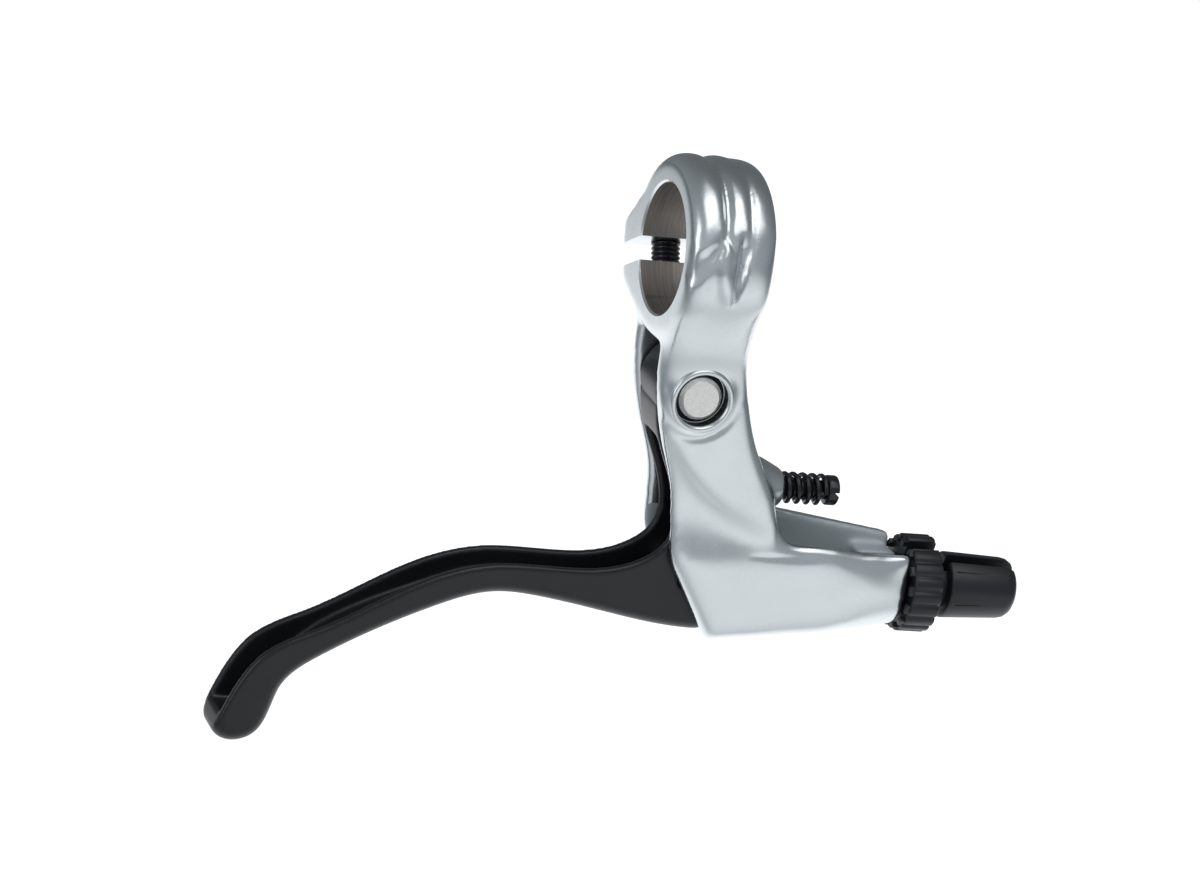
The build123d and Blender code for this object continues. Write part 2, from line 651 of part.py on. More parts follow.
lock_ring = lock_ring - along_x(thread_bore, cable_z, ring_left - overcut, ring_right + overcut)
lock_ring = lock_ring - radial_bar(cable_slot_angle, cable_slot_width, 0, lock_ring_radius + overcut,
                                   ring_left - 2 * overcut, ring_right + overcut)
save(lock_ring, "lock_ring")
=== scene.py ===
import json
from math import cos, pi, radians, sin

import bpy
from mathutils import Matrix, Vector


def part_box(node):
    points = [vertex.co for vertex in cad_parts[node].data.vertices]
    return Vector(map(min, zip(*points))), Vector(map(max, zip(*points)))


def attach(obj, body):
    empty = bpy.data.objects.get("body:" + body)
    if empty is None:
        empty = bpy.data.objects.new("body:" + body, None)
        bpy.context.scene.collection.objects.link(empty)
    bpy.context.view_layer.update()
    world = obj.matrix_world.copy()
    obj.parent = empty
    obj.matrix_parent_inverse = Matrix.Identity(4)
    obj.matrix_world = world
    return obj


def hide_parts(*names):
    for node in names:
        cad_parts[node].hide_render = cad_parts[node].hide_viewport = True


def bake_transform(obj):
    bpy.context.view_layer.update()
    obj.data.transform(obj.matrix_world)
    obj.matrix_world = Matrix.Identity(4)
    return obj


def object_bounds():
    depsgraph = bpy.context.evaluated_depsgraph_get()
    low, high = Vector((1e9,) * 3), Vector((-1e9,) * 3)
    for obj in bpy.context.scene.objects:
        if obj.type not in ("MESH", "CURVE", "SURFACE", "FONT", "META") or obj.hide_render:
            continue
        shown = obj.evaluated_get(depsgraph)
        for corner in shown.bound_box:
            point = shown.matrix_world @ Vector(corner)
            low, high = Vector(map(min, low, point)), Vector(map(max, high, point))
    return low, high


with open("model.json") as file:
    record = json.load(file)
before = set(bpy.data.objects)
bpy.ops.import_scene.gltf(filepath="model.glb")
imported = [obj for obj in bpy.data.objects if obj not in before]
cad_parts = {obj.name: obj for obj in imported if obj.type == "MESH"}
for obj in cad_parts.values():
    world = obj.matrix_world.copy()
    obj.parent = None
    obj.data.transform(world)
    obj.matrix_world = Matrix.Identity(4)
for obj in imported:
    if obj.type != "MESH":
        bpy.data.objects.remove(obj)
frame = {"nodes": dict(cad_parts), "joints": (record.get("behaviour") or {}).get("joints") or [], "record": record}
cad_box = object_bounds()

# Bracket: one aluminium forging, with the clamp ring, neck, fork and cable arm in one piece.
# The skin is blasted and anodised silver; the bore, the slot and the seats of the bolt,
# the pivot, the reach screw and the adjuster are machined into the finished forging.
mm = 0.001
joints = {joint["name"]: joint for joint in frame["joints"]}
mounts = {mount["name"]: mount for mount in frame["record"]["mounts"]}
pivot = Vector(joints["lever_pivot"]["pos_m"])
cable_line = Vector(joints["lock_ring_turn"]["pos_m"])
bar_radius = mounts["handlebar"]["dims"]["r_mm"] * mm
ring_width = mounts["handlebar"]["dims"]["length_mm"] * mm
bracket_low, bracket_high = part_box("bracket")
ring_left = bracket_low.x
ring_right = ring_left + ring_width
along_bar = Vector((1, 0, 0))
along_pivot = Vector((0, 1, 0))

slot_slope = radians(-27)
slot_run = Vector((0, cos(slot_slope), sin(slot_slope)))
bolt_run = Vector((0, -sin(slot_slope), cos(slot_slope)))
slot_low = -0.3 * mm
slot_high = 3.7 * mm
ear_width = 12.6 * mm
ear_reach = 19.6 * mm
bolt_seat = sum(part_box("clamp_bolt_washer"), Vector()) / 2
bolt_radius = 2.5 * mm
bolt_room_radius = 4.55 * mm
washer_thickness = 0.6 * mm
bolt_seat_low = bolt_seat - bolt_run * washer_thickness / 2
seat_radius = 4.6 * mm
seat_depth = 2.2 * mm
rim_radius = 0.5 * mm
boss_face = 9.5 * mm
axle_radius = 3.05 * mm
edge_break = 0.35 * mm
overcut = 2 * mm
forging_voxel = 0.4 * mm
fine_voxel = 0.36 * mm
weld = 0.001 * mm


def pick(piece):
    """Makes one object the only selected and the active one."""
    bpy.ops.object.select_all(action="DESELECT")
    piece.select_set(True)
    bpy.context.view_layer.objects.active = piece


def apply(piece, kind, **settings):
    """Gives a piece a modifier with these settings and applies it."""
    pick(piece)
    modifier = piece.modifiers.new(kind.lower(), kind)
    for name, value in settings.items():
        setattr(modifier, name, value)
    bpy.ops.object.modifier_apply(modifier=modifier.name)


def settle(name):
    """Names the newest object and puts its place and turn into its mesh."""
    piece = bpy.context.object
    piece.name = name
    bpy.ops.object.transform_apply(location=True, rotation=True, scale=True)
    return piece


def bar(radius, start, end, end_radius=None):
    """A round or tapered bar between two points."""
    run = end - start
    bpy.ops.object.select_all(action="DESELECT")
    bpy.ops.mesh.primitive_cone_add(vertices=128, radius1=radius, depth=run.length, location=(start + end) / 2,
                                    radius2=radius if end_radius is None else end_radius,
                                    rotation=run.to_track_quat("Z", "Y").to_euler())
    return settle("bar")


def slab(middle, size, turn, dip=0, swing=0):
    """A block of a size round its middle, turned about the handlebar, dipping along it and swung sideways."""
    bpy.ops.object.select_all(action="DESELECT")
    bpy.ops.mesh.primitive_cube_add(size=1, location=middle, rotation=(turn, dip, swing), scale=size)
    return settle("slab")


def blank_of(node, name):
    """A copy of a CAD node with its seams merged, ready to be worked."""
    blank = bpy.data.objects.new(name, frame["nodes"][node].data.copy())
    blank.data.materials.clear()
    bpy.context.scene.collection.objects.link(blank)
    pick(blank)
    bpy.ops.object.mode_set(mode="EDIT")
    bpy.ops.mesh.select_all(action="SELECT")
    bpy.ops.mesh.remove_doubles(threshold=weld)
    bpy.ops.object.mode_set(mode="OBJECT")
    return blank


def join(piece, *others):
    """Joins other meshes to a piece."""
    pick(piece)
    for other in others:
        other.select_set(True)
    bpy.ops.object.join()


def weld_on(piece, *others):
    """Unites other bodies with a piece."""
    for other in others:
        apply(piece, "BOOLEAN", object=other, operation="UNION", solver="EXACT")
        bpy.data.objects.remove(other)


def cut(piece, *cutters):
    """Takes each cutter out of a piece."""
    for cutter in cutters:
        apply(piece, "BOOLEAN", object=cutter, operation="DIFFERENCE", solver="EXACT")
        bpy.data.objects.remove(cutter)


def soften(piece, angle=35):
    """Smooth shading over a piece, with edges sharper than the angle kept."""
    pick(piece)
    bpy.ops.object.shade_smooth_by_angle(angle=radians(angle))


bracket = blank_of("bracket", "bracket_forging")
slot_middle = (slot_low + slot_high) / 2
slot_height = slot_high - slot_low
ear_middle = ring_left + ear_width / 2
plug_inside = bar_radius - overcut / 2
plug_middle = slot_run * (plug_inside + ear_reach) / 2 + bolt_run * slot_middle + along_bar * ear_middle
front = Vector((pivot.x, -boss_face, pivot.z))
rear = Vector((pivot.x, boss_face, pivot.z))
end_top = cable_line.z + 4.8 * mm
end_room_size = (11 * mm, 10 * mm, 10 * mm)
end_room_inset = 4.5 * mm
end_room_aside = 0.5 * mm
end_room_middle = Vector((bracket_high.x - end_room_inset, end_room_aside, end_top + end_room_size[2] / 2))
rear_wall_size = (24.0 * mm, 2.6 * mm, 6 * mm)
rear_wall_middle = Vector((33.2, 6.8, -51.5)) * mm
rear_wall_dip = radians(8.2)
front_wall_size = (19.6 * mm, 2.4 * mm, 8.8 * mm)
front_wall_middle = Vector((35.0, -6.6, -53.3)) * mm
front_wall_dip = radians(4.0)
front_wall_swing = radians(3.0)
cut(bracket, slab(end_room_middle, end_room_size, 0))
join(bracket,
     slab(rear_wall_middle, rear_wall_size, 0, rear_wall_dip),
     slab(front_wall_middle, front_wall_size, 0, front_wall_dip, front_wall_swing),
     bar(bar_radius + weld, along_bar * ring_left, along_bar * ring_right),
     slab(plug_middle, (ear_width, ear_reach - plug_inside, slot_height), slot_slope),
     bar(seat_radius + weld, front, rear))
apply(bracket, "REMESH", mode="VOXEL", voxel_size=forging_voxel, use_smooth_shade=True)
apply(bracket, "SMOOTH", factor=0.5, iterations=6)


def smooth_near(piece, middle, reach, iterations):
    """Smooths a piece further inside a ball, most at its middle."""
    near = piece.vertex_groups.new(name="near")
    for corner in piece.data.vertices:
        share = 1 - (corner.co - middle).length / reach
        if share > 0:
            near.add([corner.index], min(1, 2 * share), "REPLACE")
    apply(piece, "SMOOTH", factor=0.5, iterations=iterations, vertex_group=near.name)
    piece.vertex_groups.clear()


# Each ball: X, Y, Z and reach in millimetres, then the number of passes.
forging_balls = (
    (20, -4, -50, 55, 16),       # the arm and the fork
    (-2, 0, -25, 17, 12),        # the cheeks round the pivot
    (8, -6, -17, 8, 60),         # the neck's right shoulder
    (-0.5, -13, -14, 10, 200),   # the neck's front
    (13, -8.5, -53, 13, 120),    # the plate, left
    (26, -8.5, -55, 13, 120),    # the plate, middle
    (37, -7.5, -57, 9, 60),      # the plate's end, below
    (38, -7.5, -54, 9, 200),     # the plate's end, above
    (3, -8.5, -50, 8, 60),       # the trough's foot
    (-0.5, -15, 2.0, 9.0, 250),  # the ring's front, round the leaf
    (1.5, -13.6, -9.5, 6, 120),  # the neck's top
)
finish_balls = (
    (1.5, -13.6, -10, 9, 60),    # the neck's top
    (8, -9, -47, 14, 40),        # the trough
    (24, -8.5, -56, 16, 30),     # the plate
)
for x, y, z, reach, iterations in forging_balls:
    smooth_near(bracket, Vector((x, y, z)) * mm, reach * mm, iterations)
apply(bracket, "REMESH", mode="VOXEL", voxel_size=fine_voxel, use_smooth_shade=True)
apply(bracket, "SMOOTH", factor=0.5, iterations=5)
for x, y, z, reach, iterations in finish_balls:
    smooth_near(bracket, Vector((x, y, z)) * mm, reach * mm, iterations)


least_facing = 0.1


def stamp(piece, path, depth):
    """Presses a groove into the front of a forging, or raises a ridge where the depth is negative.

    The path gives X, Z, the share of the depth and the half width, in millimetres, at each of its points.
    """
    group = piece.vertex_groups.new(name="stamped")
    for corner in piece.data.vertices:
        if corner.co.y > 0 or corner.normal.y > -least_facing:
            continue
        place = Vector((corner.co.x, corner.co.z)) / mm
        nearest, weight = None, 0
        for (x, z, share, reach), (next_x, next_z, next_share, next_reach) in zip(path, path[1:]):
            start, run = Vector((x, z)), Vector((next_x - x, next_z - z))
            along = min(1, max(0, (place - start).dot(run) / run.length_squared))
            distance = (place - start - run * along).length
            if nearest is None or distance < nearest:
                nearest = distance
                width = reach + (next_reach - reach) * along
                weight = (share + (next_share - share) * along) * max(0, 1 - (distance / width) ** 2) ** 2
        if weight > 0:
            group.add([corner.index], weight, "REPLACE")
    apply(piece, "DISPLACE", direction="NORMAL", mid_level=0, strength=-depth, vertex_group=group.name)
    piece.vertex_groups.clear()


ring_groove = [(-2.3, 14.5, 0.3, 1.0), (-2.4, 13, 0.8, 1.1), (-2.5, 11, 1, 1.1), (-2.65, 9, 1, 1.0),
               (-2.7, 7.2, 1, 1.0), (-1.6, 5.6, 0.7, 1.0), (-0.4, 4.0, 0.3, 1.0)]
ring_crease = [(2.0, 14.5, 0.3, 0.8), (1.8, 12.5, 1, 0.8), (1.6, 10.2, 1, 0.8), (1.6, 8.3, 1, 0.8),
               (1.7, 6.2, 0.9, 0.9), (1.3, 4.5, 0.5, 0.9), (0.9, 3.0, 0, 0.9)]
rib_end = [(-2.6, 8.0, 0, 1.2), (-4.1, 5.2, 1, 1.8), (-6.2, 3.0, 1, 2.0), (-7.6, 0, 0.4, 1.8)]
leaf_edge = [(-3.6, 5.4, 0, 1.6), (-4.5, 1.6, 1, 1.9), (-4.5, -1.1, 0.8, 1.9), (-3.2, -3.8, 0.4, 1.6),
             (-1.2, -5.4, 0, 1.2)]
leaf = [(-2.8, 6.6, 0.3, 0.8), (-2.9, 4.0, 0.8, 1.4), (-2.6, 1.0, 1, 1.9), (-1.8, -2.1, 1, 1.7),
        (-1.0, -4.2, 0.6, 1.0)]
pocket = [(0.4, 8.0, 0, 1.2), (0.55, 5.4, 1, 1.5), (0.45, 2.0, 1, 1.25), (0.25, -0.7, 0.8, 0.95),
          (0.0, -3.2, 0.5, 0.8), (-0.13, -4.4, 0.2, 0.6)]
moat_radius = 6.9
moat_half_width = 1.4
moat_deepest = -3
moat_fade = 8
moat = [(pivot.x / mm + moat_radius * cos(step * pi / 12), pivot.z / mm + moat_radius * sin(step * pi / 12),
         1 - abs(step - moat_deepest) / moat_fade, moat_half_width)
        for step in range(moat_deepest - moat_fade, moat_deepest + moat_fade + 1)]
plate_dimple = [(14.8, -50.9, 0.3, 0.5), (18, -50.9, 0.9, 0.75), (21.5, -50.8, 1, 0.85), (25, -50.7, 0.9, 0.75),
                (28.5, -50.6, 0.3, 0.5)]
# Depth of each stamp in millimetres: the leaf alone is raised.
stamps = ((ring_groove, 0.5), (ring_crease, 0.4), (rib_end, 0.65), (leaf_edge, 0.22), (leaf, -0.4),
          (pocket, 1.25), (moat, 0.4), (plate_dimple, 0.14))
for path, depth in stamps:
    stamp(bracket, path, depth * mm)
apply(bracket, "SMOOTH", factor=0.5, iterations=4)
cavity_half = 5.5 * mm
cavity_reach = 6.6 * mm
bolt_clearance = 0.05 * mm
bolt_hole_depth = 16 * mm
bolt_room_height = 10 * mm
cut(bracket,
    bar(bar_radius, along_bar * (ring_left - overcut), along_bar * (ring_right + overcut)),
    bar(bar_radius + 2 * edge_break, along_bar * (ring_left - edge_break), along_bar * (ring_left + edge_break),
        bar_radius),
    slab(plug_middle + slot_run * overcut, (ring_width + 2 * overcut, ear_reach, slot_height), slot_slope),
    bar(bolt_radius + bolt_clearance, bolt_seat_low - bolt_run * bolt_hole_depth, bolt_seat),
    bar(bolt_room_radius, bolt_seat_low, bolt_seat_low + bolt_run * bolt_room_height),
    bar(axle_radius, front - along_pivot * overcut, rear + along_pivot * overcut),
    bar(seat_radius, front - along_pivot * overcut, front + along_pivot * seat_depth),
    bar(seat_radius, rear - along_pivot * seat_depth, rear + along_pivot * overcut),
    slab(pivot, (2 * cavity_reach, 2 * cavity_half, 2 * cavity_reach), 0))
for side in (front, rear):
    bpy.ops.object.select_all(action="DESELECT")
    bpy.ops.mesh.primitive_torus_add(major_radius=seat_radius + rim_radius, minor_radius=rim_radius, location=side,
                                     rotation=(pi / 2, 0, 0), major_segments=128, minor_segments=24)
    weld_on(bracket, settle("rim"))
soften(bracket)


def grain_group():
    """Shared effect: fine surface grain, as a height for bump, and slow patches of finish, as a mask."""
    group = bpy.data.node_groups.new("metal_grain", "ShaderNodeTree")
    for name in ("Grain Size", "Patch Size"):
        group.interface.new_socket(name, in_out="INPUT", socket_type="NodeSocketFloat")
    for name in ("Height", "Patches"):
        group.interface.new_socket(name, in_out="OUTPUT", socket_type="NodeSocketFloat")
    nodes, links = group.nodes, group.links
    inputs = nodes.new("NodeGroupInput")
    outputs = nodes.new("NodeGroupOutput")
    place = nodes.new("ShaderNodeTexCoord")
    for size, detail, output in (("Grain Size", 2, "Height"), ("Patch Size", 4, "Patches")):
        noise = nodes.new("ShaderNodeTexNoise")
        noise.inputs["Detail"].default_value = detail
        links.new(place.outputs["Object"], noise.inputs["Vector"])
        links.new(inputs.outputs[size], noise.inputs["Scale"])
        links.new(noise.outputs["Fac"], outputs.inputs[output])
    return group


metal_grain = grain_group()
grain_height = 0.02 * mm


def metal(name, colour, metallic, roughness, grain, bump, spread=0.06, patch=180, tone=0.1):
    """A metal finish: grain as bump and as a slight change of tone, and roughness that drifts in patches."""
    finish = bpy.data.materials.new(name)
    finish.use_nodes = True
    nodes, links = finish.node_tree.nodes, finish.node_tree.links
    shader = nodes["Principled BSDF"]
    shader.inputs["Metallic"].default_value = metallic
    effect = nodes.new("ShaderNodeGroup")
    effect.node_tree = metal_grain
    effect.inputs["Grain Size"].default_value = grain
    effect.inputs["Patch Size"].default_value = patch
    shades = nodes.new("ShaderNodeMix")
    shades.data_type = "RGBA"
    shades.inputs["A"].default_value = (*(part * (1 - tone) for part in colour), 1)
    shades.inputs["B"].default_value = (*(part * (1 + tone) for part in colour), 1)
    links.new(effect.outputs["Height"], shades.inputs["Factor"])
    links.new(shades.outputs["Result"], shader.inputs["Base Color"])
    rough = nodes.new("ShaderNodeMapRange")
    rough.inputs["To Min"].default_value = roughness - spread
    rough.inputs["To Max"].default_value = roughness + spread
    links.new(effect.outputs["Patches"], rough.inputs["Value"])
    links.new(rough.outputs["Result"], shader.inputs["Roughness"])
    relief = nodes.new("ShaderNodeBump")
    relief.inputs["Strength"].default_value = bump
    relief.inputs["Distance"].default_value = grain_height
    links.new(effect.outputs["Height"], relief.inputs["Height"])
    links.new(relief.outputs["Normal"], shader.inputs["Normal"])
    return finish


def dress(piece, finish):
    """Gives a piece one finish."""
    piece.data.materials.clear()
    piece.data.materials.append(finish)


silver = metal("silver_anodised", (0.76, 0.79, 0.81), metallic=1.0, roughness=0.26, grain=6000, bump=0.2)
mask_full = 0.02 * mm
mask_none = 0.06 * mm


def near_line(finish, middle, across, radius):
    """A mask in a finish: 1 nearer than a radius to the line through a point, square to the axes across it."""
    nodes, links = finish.node_tree.nodes, finish.node_tree.links
    place = nodes.new("ShaderNodeTexCoord")
    arm = nodes.new("ShaderNodeVectorMath")
    arm.operation = "SUBTRACT"
    arm.inputs[1].default_value = middle
    flat = nodes.new("ShaderNodeVectorMath")
    flat.operation = "MULTIPLY"
    flat.inputs[1].default_value = across
    distance = nodes.new("ShaderNodeVectorMath")
    distance.operation = "LENGTH"
    mask = nodes.new("ShaderNodeMapRange")
    mask.inputs["From Min"].default_value = radius + mask_none
    mask.inputs["From Max"].default_value = radius + mask_full
    links.new(place.outputs["Object"], arm.inputs[0])
    links.new(arm.outputs["Vector"], flat.inputs[0])
    links.new(flat.outputs["Vector"], distance.inputs[0])
    links.new(distance.outputs["Value"], mask.inputs["Value"])
    return mask.outputs["Result"]


def lay_over(finish, mask, kind, socket, value):
    """Gives a socket of a finish another value, plain or from a node, where a mask is 1."""
    nodes, links = finish.node_tree.nodes, finish.node_tree.links
    choice = nodes.new("ShaderNodeMix")
    choice.data_type = kind
    under, over = [entry for entry in choice.inputs if entry.enabled and entry.name in "AB"]
    links.new(mask, choice.inputs["Factor"])
    if socket.is_linked:
        links.new(socket.links[0].from_socket, under)
    else:
        under.default_value = socket.default_value
    if isinstance(value, bpy.types.NodeSocket):
        links.new(value, over)
    else:
        over.default_value = value
    links.new(next(entry for entry in choice.outputs if entry.enabled), socket)


def turning_lines(finish, scale):
    """Fine lines left by a cutting tool, finest along the direction with the largest scale."""
    nodes, links = finish.node_tree.nodes, finish.node_tree.links
    place = nodes.new("ShaderNodeTexCoord")
    stretch = nodes.new("ShaderNodeMapping")
    stretch.inputs["Scale"].default_value = scale
    lines = nodes.new("ShaderNodeTexNoise")
    lines.inputs["Scale"].default_value = 1
    lines.inputs["Detail"].default_value = 3
    links.new(place.outputs["Object"], stretch.inputs["Vector"])
    links.new(stretch.outputs["Vector"], lines.inputs["Vector"])
    return lines.outputs["Fac"]


bore_dark = (0.24, 0.21, 0.19, 1)
bore_light = (0.66, 0.62, 0.59, 1)
bore_roughness = 0.45
bore_line_scale = (4000, 90, 90)
# The arm's channel walls: a rougher, partly matte finish, and over it a darker grey painted on that stands in for the
# even mid-grey of their shade.
channel_half = 6.3 * mm
channel_rise = 6.5 * mm
channel_painted_grey = (0.56, 0.61, 0.64, 1)
channel_metallic = 0.4
channel_roughness = 0.6
# Painted shade: the pivot seats' walls and floors are coloured near black and made rougher, standing in for the shade
# deep in the recess round the axle's head.
seat_inset = 0.1 * mm
seat_painted_shade = (0.03, 0.03, 0.03, 1)
seat_roughness = 0.6
silver_shader = silver.node_tree.nodes["Principled BSDF"]
silver_relief = silver.node_tree.nodes["Bump"]
bore_mask = near_line(silver, (0, 0, 0), (0, 1, 1), bar_radius)
bore_lines = turning_lines(silver, bore_line_scale)
bore_tint = silver.node_tree.nodes.new("ShaderNodeMix")
bore_tint.data_type = "RGBA"
bore_tint.inputs["A"].default_value = bore_dark
bore_tint.inputs["B"].default_value = bore_light
silver.node_tree.links.new(bore_lines, bore_tint.inputs["Factor"])
lay_over(silver, bore_mask, "RGBA", silver_shader.inputs["Base Color"], bore_tint.outputs["Result"])
lay_over(silver, bore_mask, "FLOAT", silver_shader.inputs["Roughness"], bore_roughness)
lay_over(silver, bore_mask, "FLOAT", silver_relief.inputs["Height"], bore_lines)
# Rougher, partly matte finish and painted grey tone in the arm's channel.
channel_matte_and_tone_mask = near_line(silver, (0, 0, cable_line.z + channel_rise), (0, 1, 1), channel_half)
lay_over(silver, channel_matte_and_tone_mask, "RGBA", silver_shader.inputs["Base Color"], channel_painted_grey)
lay_over(silver, channel_matte_and_tone_mask, "FLOAT", silver_shader.inputs["Metallic"], channel_metallic)
lay_over(silver, channel_matte_and_tone_mask, "FLOAT", silver_shader.inputs["Roughness"], channel_roughness)
# The painted shade goes on everything inside the seat's radius round the pivot axis.
seat_shade_mask = near_line(silver, pivot, (1, 0, 1), seat_radius - seat_inset)
lay_over(silver, seat_shade_mask, "RGBA", silver_shader.inputs["Base Color"], seat_painted_shade)
lay_over(silver, seat_shade_mask, "FLOAT", silver_shader.inputs["Roughness"], seat_roughness)
dress(bracket, silver)
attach(bracket, "bracket")
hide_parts("bracket")

# Clamp bolt: a socket-head screw of black steel. It is turned and rolled, goes through the upper ear
# and is screwed into the lower one, so that it draws the slot together.
bolt_tip_below_seat = 11.0 * mm
bolt_head_radius = 4.25 * mm
bolt_head_height = 4.2 * mm
bolt_pitch = 0.8 * mm
bolt_hex = 4.0 * mm
bolt_hex_depth = 2.1 * mm
bolt_bevel = 0.45 * mm


def rolled_thread(start, end, radius, pitch, depth):
    """Outline of a thread between two places: crests at the radius, roots a depth below it."""
    turns = int((end - start) / pitch)
    outline = []
    for turn in range(turns):
        outline.append((start + turn * pitch, radius - depth))
        outline.append((start + (turn + 0.4) * pitch, radius))
        outline.append((start + (turn + 0.6) * pitch, radius))
    outline.append((start + turns * pitch, radius - depth))
    return outline


def rounded(corner_place, corner_radius, bevel, facing):
    """Outline of a rounded rim at the right (1) or left (-1) end of a turned piece."""
    steps = 4
    turns = [step * pi / (2 * steps) for step in range(steps + 1)]
    arc = [(corner_place - facing * bevel * (1 - sin(turn)), corner_radius - bevel * (1 - cos(turn))) for turn in turns]
    return arc if facing > 0 else arc[::-1]


def turned(name, outline, start, run, steps=72):
    """A piece turned about the line from start along run, from points of place along it and radius."""
    bpy.ops.object.select_all(action="DESELECT")
    bpy.ops.mesh.primitive_plane_add(size=mm)
    bpy.ops.object.mode_set(mode="EDIT")
    bpy.ops.mesh.select_all(action="SELECT")
    bpy.ops.mesh.merge(type="CENTER")
    bpy.ops.transform.translate(value=(outline[0][0], 0, outline[0][1]))
    for before, after in zip(outline, outline[1:]):
        bpy.ops.mesh.extrude_vertices_move(
            TRANSFORM_OT_translate={"value": (after[0] - before[0], 0, after[1] - before[1])})
    bpy.ops.mesh.select_all(action="SELECT")
    bpy.ops.mesh.spin(steps=steps, angle=2 * pi, center=(0, 0, 0), axis=(1, 0, 0))
    bpy.ops.mesh.select_all(action="SELECT")
    bpy.ops.mesh.remove_doubles(threshold=weld)
    bpy.ops.mesh.normals_make_consistent(inside=False)
    bpy.ops.object.mode_set(mode="OBJECT")
    piece = bpy.context.object
    piece.matrix_world = Matrix.Translation(start) @ run.to_track_quat("X", "Z").to_matrix().to_4x4()
    return settle(name)


def hex_socket(mouth, run, across, depth):
    """A cutter for a hexagon socket, from its mouth inwards against run."""
    bpy.ops.object.select_all(action="DESELECT")
    bpy.ops.mesh.primitive_cylinder_add(vertices=6, radius=across / 2 / cos(pi / 6), depth=2 * depth, location=mouth,
                                        rotation=run.to_track_quat("Z", "Y").to_euler())
    return settle("hex")


bolt_length = bolt_tip_below_seat + washer_thickness
bolt_top = bolt_length + bolt_head_height
bolt_start = bolt_seat_low - bolt_run * bolt_tip_below_seat
bolt_outline = [(0, 0), (0, bolt_radius - 2 * bolt_bevel)]
bolt_outline += rolled_thread(bolt_bevel, bolt_length - bolt_bevel, bolt_radius, bolt_pitch, 0.6 * bolt_bevel)
bolt_outline += [(bolt_length, bolt_radius - bolt_bevel), (bolt_length, bolt_head_radius)]
bolt_outline += rounded(bolt_top, bolt_head_radius, bolt_bevel, 1) + [(bolt_top, 0)]
bolt = turned("clamp_bolt_screw", bolt_outline, bolt_start, bolt_run)
cut(bolt, hex_socket(bolt_start + bolt_run * bolt_top, bolt_run, bolt_hex, bolt_hex_depth))
soften(bolt)
black_steel = metal("black_steel", (0.012, 0.012, 0.014), metallic=0.0, roughness=0.22, grain=5000, bump=0.1)
dress(bolt, black_steel)
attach(bolt, "bracket")
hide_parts("clamp_bolt")

# Clamp bolt washer: punched from steel sheet and zinc plated. It lies loose in the upper ear's seat,
# under the bolt's head, and keeps the head from biting into the aluminium.
bright_steel = metal("bright_steel", (0.86, 0.85, 0.82), metallic=1.0, roughness=0.42, grain=3000, bump=0.8,
                     spread=0.2, patch=2200, tone=0.16)
dress(frame["nodes"]["clamp_bolt_washer"], bright_steel)

# Lever blade: an aluminium forging, black anodised, a channel that is open towards the handlebar.
# It is bored for its bushes and turns on the pivot axle, between the bracket's cheeks.
blade_voxel = 0.36 * mm
black = metal("black_anodised", (0.008, 0.009, 0.010), metallic=0.0, roughness=0.34, grain=6000, bump=0.25)
blade = blank_of("lever_blade", "lever_forging")
apply(blade, "REMESH", mode="VOXEL", voxel_size=blade_voxel, use_smooth_shade=True)
apply(blade, "SMOOTH", factor=0.5, iterations=10)
dress(blade, black)
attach(blade, "lever")
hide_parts("lever_blade")

# Bushes: two flanged rings of sintered bronze, pressed into the lever's hub from both sides.
# They carry the lever on the pivot axle, and their flanges run against the cheeks.
bronze = metal("bronze", (0.62, 0.45, 0.24), metallic=1.0, roughness=0.4, grain=4000, bump=0.3)
for node in ("front_bush", "rear_bush"):
    dress(frame["nodes"][node], bronze)

# Cable hook and its pin: zinc-plated steel. The pin is pressed through both flanges of the lever,
# and the hook swings on it in the lever's channel, with the seat for the cable's end.
for node in ("hook_pin", "cable_hook"):
    dress(frame["nodes"][node], bright_steel)

# Pivot axle: turned from steel, with a plain bevelled head in the front seat. Its screw and washer
# hold it from the rear.
axle_low, axle_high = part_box("pivot_axle")
head_radius = (axle_high.x - axle_low.x) / 2
axle_length = axle_high.y - axle_low.y
head_bevel = 0.65 * mm
head_length = 1.8 * mm
shank_radius = 3.0 * mm
thread_radius = 2.05 * mm
thread_depth = 7.7 * mm
axle_outline = [(0, 0), (0, head_radius - head_bevel), (head_bevel, head_radius)]
axle_outline += [(head_length, head_radius), (head_length, shank_radius), (axle_length, shank_radius),
                 (axle_length, thread_radius), (axle_length - thread_depth, thread_radius),
                 (axle_length - thread_depth, 0)]
axle = turned("pivot_axle_turned", axle_outline, Vector((pivot.x, axle_low.y, pivot.z)), along_pivot)
soften(axle)
dress(axle, bright_steel)
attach(axle, "bracket")
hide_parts("pivot_axle")
for node in ("pivot_screw", "pivot_washer"):
    dress(frame["nodes"][node], bright_steel)

# Reach screw: black steel with a rolled thread and a slotted head, screwed through the boss behind the fork.
# Its point meets the lever's heel and sets how far out the lever rests.
reach_line = Vector(joints["reach_turn"]["pos_m"])
screw_low, screw_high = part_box("reach_screw")
screw_head_radius = (screw_high.z - screw_low.z) / 2
screw_radius = 1.9 * mm
screw_head_length = 2.0 * mm
screw_pitch = 0.7 * mm
screw_thread_depth = 0.28 * mm
screw_taper = 0.9 * mm
screw_head_bevel = 0.35 * mm
screw_slot_width = 0.8 * mm
screw_slot_depth = 0.9 * mm
screw_length = screw_high.x - screw_low.x
screw_shoulder = screw_length - screw_head_length
screw_outline = [(0, 0), (0, screw_radius - screw_taper)]
screw_outline += rolled_thread(screw_taper, screw_shoulder - screw_taper, screw_radius, screw_pitch,
                               screw_thread_depth)
screw_outline += [(screw_shoulder, screw_radius - screw_thread_depth)]
screw_outline += rounded(screw_shoulder, screw_head_radius, screw_head_bevel, -1)
